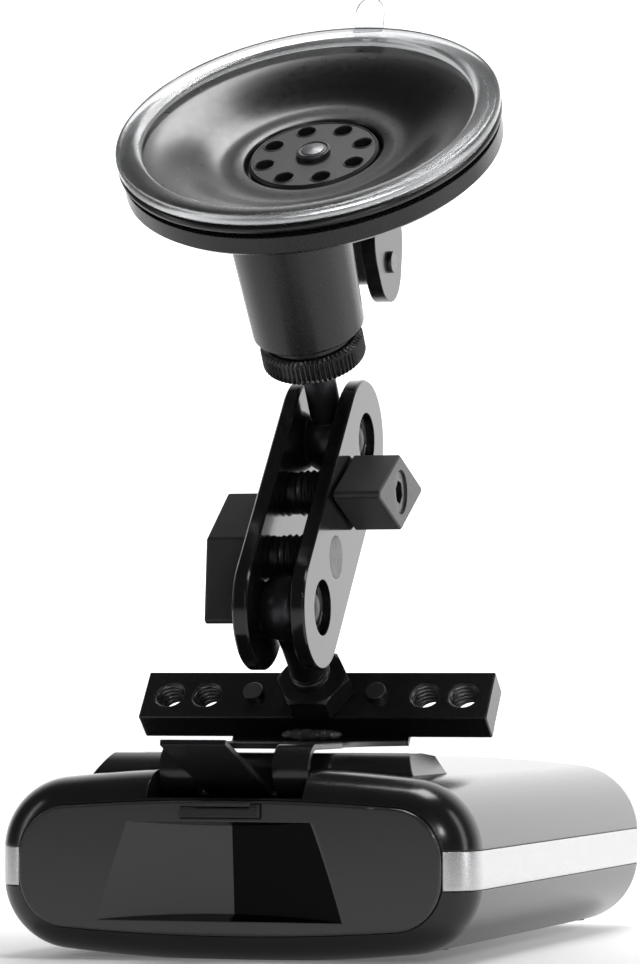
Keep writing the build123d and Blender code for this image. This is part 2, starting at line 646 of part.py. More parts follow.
# ---------------------------------------------------------------- suction cup
BOWL_R = 33.0
THROAT_R = 18.5
WELL_R = 13.1
WELL_DEPTH = 10.4
LIP_T = 1.8
FLOOR_T = 1.4
ROD_R = 2.5


def dish_blank():
    """The rigid dish without its bore: a shallow pan with a boss beneath."""
    return turned((0, -WELL_DEPTH - FLOOR_T), (15.0, -WELL_DEPTH - FLOOR_T), (THROAT_R, -9.2),
                  (BOWL_R, -GEL_T - LIP_T), (BOWL_R + 1.0, -GEL_T - LIP_T), (BOWL_R + 1.0, -4.9),
                  (DISH_R, -4.9), (DISH_R, -8.2), (DISH_R - 0.8, -DISH_DEPTH), (BOSS_R[0], -DISH_DEPTH),
                  (BOSS_R[1], -BOSS_DEPTH), (0, -BOSS_DEPTH))


def boss_column():
    """The space that the dish's boss and everything above it fill."""
    return turned((0, -BOSS_DEPTH), (BOSS_R[1], -BOSS_DEPTH), (BOSS_R[0], -DISH_DEPTH),
                  (BOSS_R[0], 0), (0, 0))


def make_cup():
    """Dish, rubber cup and the clear gel ring with its pull tab."""
    bore = rod(ROD_R + FIT, -BOSS_DEPTH - 1, 0)
    save(cup_frame * (dish_blank() - bore), "cup_dish")

    rubber = turned((3.2, -WELL_DEPTH - FLOOR_T), (15.0, -WELL_DEPTH - FLOOR_T), (THROAT_R, -9.2),
                    (BOWL_R, -GEL_T - LIP_T), (RIM_R, -GEL_T - LIP_T), (RIM_R, -GEL_T),
                    (BOWL_R - 1.0, -GEL_T), (26.0, -3.6), (THROAT_R, -7.4), (WELL_R, -7.9),
                    (WELL_R, -WELL_DEPTH), (3.2, -WELL_DEPTH))
    save(cup_frame * rubber, "suction_cup")

    ring = rod(RIM_R, -GEL_T, 0) - rod(BOWL_R - 1.0, -GEL_T - 1, 1)
    ring = fillet(ring.edges().group_by(Axis.Z)[-1], 0.5)
    tab = box((-3.0, 3.0), (0, 8.0), (-0.5, 0.5))
    tab = fillet(tab.edges().filter_by(Axis.Z).group_by(Axis.Y)[-1], 2.4)
    tab = Pos(3.3, RIM_R - 1.2, -0.9) * Rot(40, 0, 0) * tab
    save(cup_frame * (ring + tab), "gel_pad")


PIN_R = 1.6
EYE_HALF_X = 7.9
EYE_R = 4.2
CAM_CENTRE = (1.5, 3.9)
CAM_R = 9.3
CAM_NOSE_R = 7.6
HANDLE_Y = (5.0, 33.0)
HANDLE_Z = (4.6, 7.6)


def make_plunger():
    """Perforated hub, the rod that pulls it and the lever pin across its eye."""
    hub = rod(HUB_R, -HUB_DEPTH - HUB_T, -HUB_DEPTH)
    hub = chamfer(hub.edges().group_by(Axis.Z)[-1], 0.4)
    for step in range(HUB_HOLES):
        angle = 2 * pi * (step + 0.5) / HUB_HOLES
        hub = hub - rod(1.75, -HUB_DEPTH - 2.0, 0, 9.5 * cos(angle), 9.5 * sin(angle))
    save(cup_frame * (hub - rod(ROD_R, -HUB_DEPTH - HUB_T - 1, 0)), "hub_insert")

    shaft = rod(ROD_R, -PIN_DEPTH, -HUB_DEPTH)
    shaft += rod(3.3, -HUB_DEPTH, -HUB_DEPTH + 1.0)
    eye = cross_rod(EYE_R, -EYE_HALF_X, EYE_HALF_X, 0, -PIN_DEPTH)
    eye += box((-EYE_HALF_X, EYE_HALF_X), (-EYE_R, EYE_R), (-PIN_DEPTH, -BOSS_DEPTH - 4.6))
    save(cup_frame * (shaft + eye - cross_rod(PIN_R, -CASE_W, CASE_W, 0, -PIN_DEPTH)), "plunger_rod")

    reach = CHEEK_X[1] + 0.1
    pin = cross_rod(PIN_R, -reach, reach, 0, -PIN_DEPTH)
    for side in (-1, 1):
        low, high = sorted((side * reach, side * (reach + 0.7)))
        pin += cross_rod(PIN_R + 0.5, low, high, 0, -PIN_DEPTH)
    save(cup_frame * pin, "lever_pin")


def make_lever():
    """Cam lever: two cheeks either side of the eye, joined by the handle."""
    cam_y, cam_z = CAM_CENTRE
    nose = Circle(CAM_NOSE_R)
    lobe = Pos(cam_y, cam_z) * Circle(CAM_R)
    outline = make_hull(nose.edges() + lobe.edges())
    cheeks = []
    for side in (-1, 1):
        low, high = sorted((side * CHEEK_X[0], side * CHEEK_X[1]))
        cheek = Pos(low, 0, 0) * extrude(Plane.YZ * outline, high - low)
        cheeks.append(cheek - cross_rod(PIN_R + FIT, low - 1, high + 1))
    handle = box((-CHEEK_X[1], CHEEK_X[1]), HANDLE_Y, HANDLE_Z)
    handle = fillet(handle.edges().filter_by(Axis.Z).group_by(Axis.Y)[-1], 5.0)
    handle = handle - box((-EYE_HALF_X - 0.3, EYE_HALF_X + 0.3), (-20, EYE_R + 3.0), (-20, 20))
    save(cup_frame * Pos(0, 0, -PIN_DEPTH) * (handle + cheeks[0] + cheeks[1]), "cam_lever")


make_case()
make_front()
make_electronics()
make_rear()
make_island()
make_bracket()
make_bar()
make_lower_stud()
make_arm()
make_upper_stud()
make_cup()
make_plunger()
make_lever()
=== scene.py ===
import json
import math

import bmesh
import bpy
from mathutils import Matrix, Vector, noise


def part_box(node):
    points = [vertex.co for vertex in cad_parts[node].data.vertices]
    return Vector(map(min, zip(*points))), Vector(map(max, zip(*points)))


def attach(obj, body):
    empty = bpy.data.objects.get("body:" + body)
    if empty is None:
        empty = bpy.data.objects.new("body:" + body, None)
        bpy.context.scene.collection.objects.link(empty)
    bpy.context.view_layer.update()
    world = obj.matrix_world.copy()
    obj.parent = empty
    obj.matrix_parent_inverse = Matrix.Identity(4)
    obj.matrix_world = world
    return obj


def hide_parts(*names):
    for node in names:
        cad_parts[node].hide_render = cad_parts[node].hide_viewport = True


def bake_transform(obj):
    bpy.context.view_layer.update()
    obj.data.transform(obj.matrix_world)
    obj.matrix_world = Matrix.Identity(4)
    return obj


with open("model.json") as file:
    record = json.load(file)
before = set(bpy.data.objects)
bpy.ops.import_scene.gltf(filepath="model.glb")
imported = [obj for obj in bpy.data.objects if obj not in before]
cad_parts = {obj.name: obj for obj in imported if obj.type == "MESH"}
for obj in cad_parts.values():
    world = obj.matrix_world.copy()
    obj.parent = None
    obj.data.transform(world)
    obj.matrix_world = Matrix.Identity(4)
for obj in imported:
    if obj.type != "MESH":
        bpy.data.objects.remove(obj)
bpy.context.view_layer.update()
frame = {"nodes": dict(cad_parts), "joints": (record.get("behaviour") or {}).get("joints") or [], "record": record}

# Looks for a windscreen radar and laser detector on a suction-cup arm. Metres, in the CAD frame.

MM = 0.001

# ---------------------------------------------------------------- places taken from the frame
JOINTS = {joint["name"]: joint for joint in frame["joints"]}
MOUNTS = {mount["name"]: mount for mount in frame["record"]["mounts"]}
CROSS = Vector((1, 0, 0))
BAR_FACE = Vector(JOINTS["nut_turn"]["pos_m"])
BAR_NORMAL = Vector(JOINTS["nut_turn"]["axis"]).normalized()
UPPER_BALL = Vector(JOINTS["cup_tilt"]["pos_m"])
CUP_AXIS = Vector(JOINTS["cup_swivel"]["axis"]).normalized()
CUP_CENTRE = Vector((0, *MOUNTS["windscreen_face"]["pos_m"][1:]))
CLAMPS = {name: Vector(JOINTS[f"{name}_clamp_turn"]["pos_m"]) for name in ("upper", "lower")}


def frame_at(origin, normal):
    """Local frame with X across the part and Z along a direction in the YZ plane."""
    side = normal.cross(CROSS)
    matrix = Matrix((CROSS, side, normal)).transposed().to_4x4()
    matrix.translation = origin
    return matrix


BAR = frame_at(BAR_FACE, BAR_NORMAL)
POST = frame_at(UPPER_BALL, CUP_AXIS)
CUP = frame_at(CUP_CENTRE, CUP_AXIS)


# ---------------------------------------------------------------- mesh helpers
def new_piece(name, mesh):
    """A new object for a mesh, linked into the scene."""
    piece = bpy.data.objects.new(name, mesh)
    bpy.context.scene.collection.objects.link(piece)
    return piece


def from_bmesh(name, bm, matrix=None, smooth_angle=40):
    """Finish a bmesh into a piece with outward normals and angle-based smoothing."""
    if matrix is not None:
        bm.transform(matrix)
    bmesh.ops.recalc_face_normals(bm, faces=bm.faces)
    mesh = bpy.data.meshes.new(name)
    bm.to_mesh(mesh)
    bm.free()
    mesh.polygons.foreach_set("use_smooth", [True] * len(mesh.polygons))
    mesh.set_sharp_from_angle(angle=math.radians(smooth_angle))
    return new_piece(name, mesh)


def bridge(bm, rings, closed):
    """Join each ring of points to the next with quads, and the last to the first if closed."""
    pairs = list(zip(rings, rings[1:]))
    if closed:
        pairs.append((rings[-1], rings[0]))
    for ring, above in pairs:
        steps = len(ring)
        for step in range(steps):
            after = (step + 1) % steps
            bm.faces.new((ring[step], ring[after], above[after], above[step]))


def ring_point(bm, radius, height, angle):
    """A point at a radius, height and angle about local Z, lengths in mm."""
    return bm.verts.new((radius * math.cos(angle) * MM, radius * math.sin(angle) * MM, height * MM))


def lathe(name, profile, matrix, steps=128, shape=None, smooth_angle=40):
    """A closed solid turned about local Z from (radius, height) points in mm.

    shape(radius, height, angle) may move each point, as for a knurl or a thread.
    """
    bm = bmesh.new()
    rings = []
    for radius, height in profile:
        ring = []
        for step in range(steps):
            angle = 2 * math.pi * step / steps
            r, z = (radius, height) if shape is None else shape(radius, height, angle)
            ring.append(ring_point(bm, r, z, angle))
        rings.append(ring)
    bridge(bm, rings, closed=True)
    return from_bmesh(name, bm, matrix, smooth_angle)


def threaded_rod(name, radius, low, high, pitch, depth, matrix, steps=48):
    """A screw shank whose ridge follows a helix, closed by flat chamfered ends."""
    rows = max(8, int((high - low) / pitch * 8))
    heights = [low + (high - low) * row / rows for row in range(rows + 1)]
    bm = bmesh.new()
    rings = []
    for height in heights:
        edge = min(height - low, high - height)
        taper = min(1.0, edge / pitch)
        ring = []
        for step in range(steps):
            angle = 2 * math.pi * step / steps
            phase = (height / pitch - angle / (2 * math.pi)) % 1.0
            ridge = abs(2 * phase - 1)
            ring.append(ring_point(bm, radius - depth * (1 - ridge * taper), height, angle))
        rings.append(ring)
    bridge(bm, rings, closed=False)
    bm.faces.new(list(reversed(rings[0])))
    bm.faces.new(rings[-1])
    return from_bmesh(name, bm, matrix, 35)


def join(name, pieces):
    """Join several pieces into one object."""
    with bpy.context.temp_override(active_object=pieces[0], selected_editable_objects=pieces,
                                   selected_objects=pieces):
        bpy.ops.object.join()
    pieces[0].name = name
    return pieces[0]


def arc(centre, radius, start, end, steps=8):
    """Points of an arc in the profile plane, angles in degrees."""
    turns = [math.radians(start + (end - start) * step / steps) for step in range(steps + 1)]
    return [(centre[0] + radius * math.cos(turn), centre[1] + radius * math.sin(turn)) for turn in turns]


# ---------------------------------------------------------------- materials
EDGE_SOFTNESS = 0.3 * MM     # how wide an edge catches the light
GRAIN_HEIGHT = 0.02 * MM
DRIFT_SHARE = 0.06           # scale of the slow colour drift, as a share of the grain's
NOISE_RANGE = (0.3, 0.7)     # the part of the noise that is spread over the full effect


def grain_noise(tree, mapping, scale, detail):
    """A noise texture read in object coordinates."""
    texture = tree.nodes.new("ShaderNodeTexNoise")
    texture.inputs["Scale"].default_value = scale
    texture.inputs["Detail"].default_value = detail
    tree.links.new(mapping.outputs["Vector"], texture.inputs["Vector"])
    return texture


def drifting_color(tree, shader, drift, color, spread):
    """Base colour that wanders slowly to either side of its middle value."""
    ramp = tree.nodes.new("ShaderNodeValToRGB")
    darker, lighter = ramp.color_ramp.elements
    darker.position, lighter.position = NOISE_RANGE
    darker.color = [channel * (1 - spread) for channel in color] + [1]
    lighter.color = [min(1, channel * (1 + spread)) for channel in color] + [1]
    tree.links.new(drift.outputs["Fac"], ramp.inputs["Fac"])
    tree.links.new(ramp.outputs["Color"], shader.inputs["Base Color"])


def uneven_roughness(tree, shader, fine, rough, rough_spread):
    """Roughness that varies with the fine grain."""
    spot = tree.nodes.new("ShaderNodeMapRange")
    spot.inputs["From Min"].default_value, spot.inputs["From Max"].default_value = NOISE_RANGE
    spot.inputs["To Min"].default_value = max(0.01, rough - rough_spread)
    spot.inputs["To Max"].default_value = min(1.0, rough + rough_spread)
    tree.links.new(fine.outputs["Fac"], spot.inputs["Value"])
    tree.links.new(spot.outputs["Result"], shader.inputs["Roughness"])


def surface_relief(tree, shader, fine, bump):
    """Softened edges with the fine grain raised on top of them."""
    edge = tree.nodes.new("ShaderNodeBevel")
    edge.samples = 4
    edge.inputs["Radius"].default_value = EDGE_SOFTNESS
    relief = tree.nodes.new("ShaderNodeBump")
    relief.inputs["Strength"].default_value = bump
    relief.inputs["Distance"].default_value = GRAIN_HEIGHT
    tree.links.new(fine.outputs["Fac"], relief.inputs["Height"])
    tree.links.new(edge.outputs["Normal"], relief.inputs["Normal"])
    tree.links.new(relief.outputs["Normal"], shader.inputs["Normal"])


def material(name, color, rough, metallic=0.0, spread=0.15, grain=900.0, bump=0.05,
             rough_spread=0.06, coat=0.0, coat_rough=0.05, specular=0.5):
    """Principled material with fine grain, slow colour drift and faint surface relief."""
    made = bpy.data.materials.new(name)
    made.use_nodes = True
    tree = made.node_tree
    shader = tree.nodes["Principled BSDF"]
    shader.inputs["Metallic"].default_value = metallic
    shader.inputs["Coat Weight"].default_value = coat
    shader.inputs["Coat Roughness"].default_value = coat_rough
    shader.inputs["Specular IOR Level"].default_value = specular
    place = tree.nodes.new("ShaderNodeTexCoord")
    mapping = tree.nodes.new("ShaderNodeMapping")
    tree.links.new(place.outputs["Object"], mapping.inputs["Vector"])
    drift = grain_noise(tree, mapping, grain * DRIFT_SHARE, 4.0)
    fine = grain_noise(tree, mapping, grain, 6.0)
    drifting_color(tree, shader, drift, color, spread)
    uneven_roughness(tree, shader, fine, rough, rough_spread)
    surface_relief(tree, shader, fine, bump)
    return made


def clear_material(name, color, rough, ior=1.45, grain=300.0):
    """Clear moulded material with faint flow marks."""
    made = material(name, color, rough, spread=0.02, grain=grain, bump=0.08, rough_spread=0.03)
    shader = made.node_tree.nodes["Principled BSDF"]
    shader.inputs["Transmission Weight"].default_value = 1.0
    shader.inputs["IOR"].default_value = ior
    return made


LOOKS = {
    "case_plastic": material("case_plastic", (0.010, 0.010, 0.011), 0.2, grain=2600, bump=0.02,
                             rough_spread=0.03),
    "panel_plastic": material("panel_plastic", (0.036, 0.036, 0.037), 0.12, spread=0.04, bump=0.01,
                              rough_spread=0.02, coat=0.3, coat_rough=0.05),
    "silver_trim": material("silver_trim", (0.62, 0.62, 0.63), 0.30, metallic=0.8, spread=0.02,
                            grain=3000, bump=0.06),
    "black_plastic": material("black_plastic", (0.016, 0.016, 0.017), 0.42, grain=2200, bump=0.2),
    "key_rubber": material("key_rubber", (0.03, 0.03, 0.031), 0.6, grain=2600, bump=0.3),
    "screw_steel": material("screw_steel", (0.16, 0.16, 0.165), 0.35, metallic=1.0, grain=1500, bump=0.15),
    "circuit_board": material("circuit_board", (0.015, 0.12, 0.045), 0.35, spread=0.3, grain=700),
    "horn_metal": material("horn_metal", (0.6, 0.6, 0.61), 0.4, metallic=1.0, grain=1200, bump=0.3),
    "lens_glass": clear_material("lens_glass", (0.86, 0.82, 0.9), 0.02),
    "patch_ceramic": material("patch_ceramic", (0.66, 0.62, 0.54), 0.55, grain=1400, bump=0.2),
    "black_metal": material("black_metal", (0.010, 0.010, 0.011), 0.22, spread=0.15, grain=1600, bump=0.02,
                            rough_spread=0.03, specular=0.6),
    "plate_metal": material("plate_metal", (0.007, 0.007, 0.008), 0.12, spread=0.3, grain=500, bump=0.05,
                            coat=0.2, coat_rough=0.05, rough_spread=0.03),
    "black_oxide": material("black_oxide", (0.055, 0.055, 0.06), 0.33, metallic=0.85, spread=0.3,
                            grain=1500, bump=0.2),
    "adhesive": material("adhesive", (0.06, 0.06, 0.06), 0.2, spread=0.6, grain=1400, bump=1.0),
    "knob_plastic": material("knob_plastic", (0.03, 0.03, 0.031), 0.4, grain=1800, bump=0.06,
                             rough_spread=0.03),
    "post_plastic": material("post_plastic", (0.012, 0.012, 0.013), 0.27, grain=1700, bump=0.05,
                             rough_spread=0.03),
    "cup_rubber": material("cup_rubber", (0.006, 0.006, 0.0065), 0.3, grain=700, bump=0.05,
                           rough_spread=0.03, coat=0.15, coat_rough=0.15),
    "clear_gel": clear_material("clear_gel", (0.64, 0.65, 0.66), 0.14, ior=1.40),
}


def dress(piece, slot_name):
    """Give a new piece its material and say which slot it comes from."""
    piece.data.materials.clear()
    piece.data.materials.append(LOOKS[slot_name])
    return piece


def dress_cad_nodes():
    """Every CAD node takes the full material of its slot."""
    for entry in frame["record"]["subparts"]:
        node = frame["nodes"][entry["node"]]
        node.data.materials.clear()
        node.data.materials.append(LOOKS[entry["material_slot"]])


SCOOP_REFLECTION_X = (0.4, 22.6)     # the painted dark reflection in the right half of the scoop, across X in mm
SCOOP_DEEP = (-68.9, -60.0)  # behind the panel's face
SCOOP_HIGH = (7.05, 24.55)   # and between these heights
# the base colour of the painted dark reflection
SCOOP_REFLECTION_COLOR = (0.003, 0.003, 0.003, 1)
SCOOP_SHINE = 0.04


def linked_math(tree, operation, first, second):
    """A math node fed by a socket and by a second socket or a number."""
    node = tree.nodes.new("ShaderNodeMath")
    node.operation = operation
    tree.links.new(first, node.inputs[0])
    if isinstance(second, float):
        node.inputs[1].default_value = second
    else:
        tree.links.new(second, node.inputs[1])
    return node.outputs["Value"]


def inside_box(tree, ranges):
    """A socket that is 1 where the object coordinate lies in a box given in mm, else 0."""
    place = tree.nodes.new("ShaderNodeTexCoord")
    split = tree.nodes.new("ShaderNodeSeparateXYZ")
    tree.links.new(place.outputs["Object"], split.inputs["Vector"])
    steps = []
    for axis, (low, high) in ranges.items():
        offset = linked_math(tree, "SUBTRACT", split.outputs[axis], (low + high) / 2 * MM)
        distance = tree.nodes.new("ShaderNodeMath")
        distance.operation = "ABSOLUTE"
        tree.links.new(offset, distance.inputs[0])
        steps.append(linked_math(tree, "LESS_THAN", distance.outputs["Value"], (high - low) / 2 * MM))
    inside = steps[0]
    for step in steps[1:]:
        inside = linked_math(tree, "MULTIPLY", inside, step)
    return inside


def paint_scoop_reflection():
    """A painted dark reflection in the right half of the scoop on the grey panel, with less coat and specular
    there.
    """
    tree = LOOKS["panel_plastic"].node_tree
    shader = tree.nodes["Principled BSDF"]
    inside = inside_box(tree, {"X": SCOOP_REFLECTION_X, "Y": SCOOP_DEEP, "Z": SCOOP_HIGH})
    mix = tree.nodes.new("ShaderNodeMix")
    mix.data_type = "RGBA"
    grey_in, painted_reflection_in = [socket for socket in mix.inputs if socket.type == "RGBA"]
    # the box mask paints the dark reflection over the panel's grey
    painted_reflection_in.default_value = SCOOP_REFLECTION_COLOR
    tree.links.new(shader.inputs["Base Color"].links[0].from_socket, grey_in)
    tree.links.new(inside, mix.inputs["Factor"])
    mixed = next(socket for socket in mix.outputs if socket.type == "RGBA")
    tree.links.new(mixed, shader.inputs["Base Color"])
    for name in ("Coat Weight", "Specular IOR Level"):
        fade = tree.nodes.new("ShaderNodeMapRange")
        fade.inputs["To Min"].default_value = shader.inputs[name].default_value
        fade.inputs["To Max"].default_value = SCOOP_SHINE
        tree.links.new(inside, fade.inputs["Value"])
        tree.links.new(fade.outputs["Result"], shader.inputs[name])


# ---------------------------------------------------------------- suction cup
RIM_R = 36.8
BOWL_R = 33.0
WELL_R = 13.1                # the round well that the hub sits in
CUP_FLOOR = (-11.8, -10.4)   # under and upper side of the rubber at the well
SHAFT_R = 3.2


def make_cup():
    """Rubber cup, and the clear gel ring with its tab."""
    under = [(SHAFT_R, CUP_FLOOR[0]), (15.0, CUP_FLOOR[0]), (18.5, -9.2), (BOWL_R, -3.8), (36.2, -3.8)]
    rim = arc((36.0, -3.1), 0.75, -60, 60, 6)
    bowl = [(34.6, -2.05), (32.4, -2.2), (30.2, -2.5), (27.6, -3.2), (25.0, -4.3), (22.6, -5.6),
            (20.6, -6.6), (18.8, -7.25), (17.2, -7.5), (15.8, -7.45), (14.4, -7.5), (13.5, -7.7),
            (WELL_R, -8.3), (WELL_R, CUP_FLOOR[1]), (SHAFT_R, CUP_FLOOR[1])]
    cup = lathe("rubber_cup", under + rim + bowl, CUP, 160)
    dress(cup, "cup_rubber")
    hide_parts("suction_cup")
    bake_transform(cup)

    profile = (arc((36.1, -0.65), 0.65, 90, 0, 5) + arc((36.3, -1.5), 0.45, 0, -90, 4)
               + [(34.5, -1.97), (32.4, -1.99)] + arc((32.3, -1.2), 0.6, 240, 90, 6) + [(34.0, -0.05)])
    ring = lathe("gel_ring", profile, CUP, 192)
    tab = gel_tab()
    gel = join("gel_seal", [ring, tab])
    dress(gel, "clear_gel")
    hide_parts("gel_pad")
    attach(gel, "cup")


TAB_ROOT = (3.3, RIM_R - 1.6, -1.0)
TAB_HALF = 2.9
TAB_T = 0.45
TAB_REACH = 6.08
TAB_LIFT = 4.712
TAB_ROUND_FROM = 0.62        # where the end starts to round off, as a share of the length
TAB_RIBS = 5
TAB_RIB_H = 0.12


def gel_tab():
    """The pull tab: a thin tongue with a round end, raised ribs and a lifted curve."""
    bm = bmesh.new()
    across, along = 10, 24
    layers = []
    for top in (0, 1):
        grid = []
        for row in range(along + 1):
            t = row / along
            taper = max(0.0, (t - TAB_ROUND_FROM) / (1 - TAB_ROUND_FROM))
            width = TAB_HALF * math.sqrt(max(0.02, 1 - taper ** 2))
            rib = TAB_RIB_H * (1 - math.cos(2 * math.pi * TAB_RIBS * t)) * (0.15 < t < 0.85)
            lift = TAB_LIFT * t ** 1.4
            line = []
            for column in range(across + 1):
                x = width * (2 * column / across - 1)
                z = lift + (TAB_T / 2 + rib if top else -TAB_T / 2)
                line.append(bm.verts.new((x * MM, TAB_REACH * t * MM, z * MM)))
            grid.append(line)
        layers.append(grid)
    for grid in layers:
        for row in range(along):
            for column in range(across):
                bm.faces.new((grid[row][column], grid[row][column + 1],
                              grid[row + 1][column + 1], grid[row + 1][column]))
    low, high = layers
    rim = ([(row, 0) for row in range(along + 1)] + [(along, column) for column in range(1, across + 1)]
           + [(row, across) for row in range(along - 1, -1, -1)]
           + [(0, column) for column in range(across - 1, 0, -1)])
    for (r0, c0), (r1, c1) in zip(rim, rim[1:] + rim[:1]):
        bm.faces.new((low[r0][c0], low[r1][c1], high[r1][c1], high[r0][c0]))
    place = CUP @ Matrix.Translation(Vector(TAB_ROOT) * MM)
    return from_bmesh("gel_tab", bm, place, 50)


# ---------------------------------------------------------------- hub details
HUB_TOP = -7.7               # the hub's outer face below the rim plane
HUB_HOLES = 8
HUB_HOLE_CIRCLE = 9.5
HUB_RIM_R = 12.0
HOLE_RIM_R = 1.95
SCREW_RIM_R = 2.9
SCREW_HEIGHT = 1.0           # the plunger's head above the hub
RIM_WIRE = 0.16
SCREW_WIRE = 0.22
SCREW_DOME = ((0.01, -0.05), (2.2, -0.05), (2.2, 0.15), (1.0, 0.35), (0.01, 0.4))


def ring_profile(radius, height, thick):
    """Profile of a round wire ring lying at a height."""
    return arc((radius, height), thick, 0, 360, 10)[:-1]


def make_hub_details():
    """Raised rims round the hub and its holes, and the domed screw head in its middle."""
    rims = [lathe("hub_rim", ring_profile(HUB_RIM_R, HUB_TOP, RIM_WIRE), CUP, 96)]
    hole = ring_profile(HOLE_RIM_R, HUB_TOP, RIM_WIRE)
    for step in range(HUB_HOLES):
        angle = 2 * math.pi * (step + 0.5) / HUB_HOLES
        middle = Vector((math.cos(angle), math.sin(angle), 0)) * HUB_HOLE_CIRCLE * MM
        rims.append(lathe(f"hole_rim_{step}", hole, CUP @ Matrix.Translation(middle), 40))
    rims.append(lathe("screw_rim", ring_profile(SCREW_RIM_R, HUB_TOP + SCREW_HEIGHT, SCREW_WIRE), CUP, 64))
    dressed = join("hub_rims", rims)
    dress(dressed, "black_oxide")
    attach(dressed, "plunger")

    dome = [(radius, HUB_TOP + SCREW_HEIGHT + rise) for radius, rise in SCREW_DOME]
    head = lathe("hub_screw", dome, CUP, 48)
    dress(head, "screw_steel")
    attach(head, "plunger")


# ---------------------------------------------------------------- threads, knurl and bead
CLAMP_THREAD_R = 4.4
CLAMP_THREAD_DEPTH = 0.5
CLAMP_PITCH = 1.25
HALF_GAP = 3.95             # half the gap between the arm plates
NECK_THREAD_R = 3.85
NECK_THREAD_DEPTH = 0.45
NECK_THREAD_Z = (5.3, 8.4)   # above the bar, just over the jam nut
BAR_HOLES = 4
SLEEVE_R = 2.99              # just inside the bar's bored hole
SLEEVE_ROOT_R = 2.96
SLEEVE_CREST_R = 2.6
SLEEVE_TOP = -0.1            # below the bar's face
SLEEVE_BOTTOM = -5.9
RIDGE_STEEPNESS = 2.6
HOLE_PITCH = 1.0


def make_threads():
    """Thread ridges on the clamp screws between the plates, and in the bar's tapped holes."""
    for name, centre in CLAMPS.items():
        axis = frame_at(Vector((0, centre.y, centre.z)), Vector((0, 0, 1)))
        along_x = axis @ Matrix.Rotation(math.radians(90), 4, "Y")
        shank = threaded_rod(f"{name}_thread", CLAMP_THREAD_R, -HALF_GAP, HALF_GAP, CLAMP_PITCH,
                             CLAMP_THREAD_DEPTH, along_x)
        dress(shank, "black_oxide")
        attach(shank, f"{name}_clamp")

    for number in range(1, BAR_HOLES + 1):
        place = MOUNTS[f"bar_hole_{number}"]["pos_m"]
        sleeve = tapped_sleeve(f"hole_thread_{number}", frame_at(Vector(place), BAR_NORMAL))
        dress(sleeve, "screw_steel")
        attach(sleeve, "bracket")

    neck = threaded_rod("neck_thread", NECK_THREAD_R, *NECK_THREAD_Z, HOLE_PITCH, NECK_THREAD_DEPTH, BAR)
    dress(neck, "black_oxide")
    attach(neck, "lower_stud")


def tapped_sleeve(name, matrix):
    """A thin tube whose inner wall carries the helical ridges of a tapped hole."""
    steps, rows = 40, 44
    bm = bmesh.new()
    rings = []
    for row in range(rows + 1):
        height = SLEEVE_TOP - (SLEEVE_TOP - SLEEVE_BOTTOM) * row / rows
        ring = []
        for step in range(steps):
            angle = 2 * math.pi * step / steps
            phase = (height / HOLE_PITCH - angle / (2 * math.pi)) % 1.0
            ridge = max(0.0, 1 - RIDGE_STEEPNESS * abs(phase - 0.5))
            radius = SLEEVE_ROOT_R - (SLEEVE_ROOT_R - SLEEVE_CREST_R) * ridge
            ring.append(ring_point(bm, radius, height, angle))
        rings.append(ring)
    for height in (SLEEVE_BOTTOM, SLEEVE_TOP):
        rings.append([ring_point(bm, SLEEVE_R, height, 2 * math.pi * step / steps)
                      for step in range(steps)])
    bridge(bm, rings, closed=True)
    return from_bmesh(name, bm, matrix, 35)


RING_Z = (18.2, 23.2)        # along the post, above the upper ball
RING_R = 9.85
RING_BORE_R = 4.06
KNURL_TEETH = 64
KNURL_DEPTH = 0.55


def make_lock_ring():
    """The straight-knurled lock ring under the post."""
    low, high = RING_Z
    shoulder = RING_R - 1.0
    profile = [(RING_BORE_R, low), (shoulder, low), (RING_R - 0.5, low + 0.15), (RING_R, low + 0.75)]
    profile += [(RING_R, low + 0.8 + (high - low - 1.5) * row / 4) for row in range(1, 5)]
    profile += [(RING_R - 0.3, high - 0.4), (shoulder, high), (RING_BORE_R, high)]

    def knurl(radius, height, angle):
        """Cut the ridges into the outer wall only."""
        reach = max(0.0, min(1.0, (radius - shoulder) / 0.9))
        wave = abs(((angle * KNURL_TEETH / (2 * math.pi)) % 1.0) * 2 - 1)
        return radius - KNURL_DEPTH * reach * (1 - wave), height

    ring = lathe("knurled_ring", profile, POST, KNURL_TEETH * 8, knurl, 30)
    dress(ring, "black_metal")
    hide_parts("lock_ring")
    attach(ring, "ring")


BEAD_SHARE = 0.88            # the bead's body as a share of its CAD box
BEAD_ROUGHNESS = ((900, 0.35), (2300, 0.2))   # noise scale and height in mm


def make_bead():
    """The rough bead of adhesive in the corner of the bracket."""
    low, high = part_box("bonding_bead")
    centre = (low + high) / 2
    half = (high - low) / 2
    bm = bmesh.new()
    bmesh.ops.create_icosphere(bm, subdivisions=5, radius=1.0)
    for vert in bm.verts:
        direction = vert.co.normalized()
        squared = Vector([math.copysign(abs(value) ** 0.75, value) for value in direction])
        place = Vector((squared.x * half.x, squared.y * half.y, squared.z * half.z)) * BEAD_SHARE
        rough = sum(noise.noise(place * scale) * height for scale, height in BEAD_ROUGHNESS)
        vert.co = centre + place + direction * rough * MM
    bead = from_bmesh("adhesive_bead", bm, None, 60)
    for vert in bead.data.vertices:
        vert.co.z = min(max(vert.co.z, low.z), high.z)
    dress(bead, "adhesive")
    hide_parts("bonding_bead")
    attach(bead, "bracket")


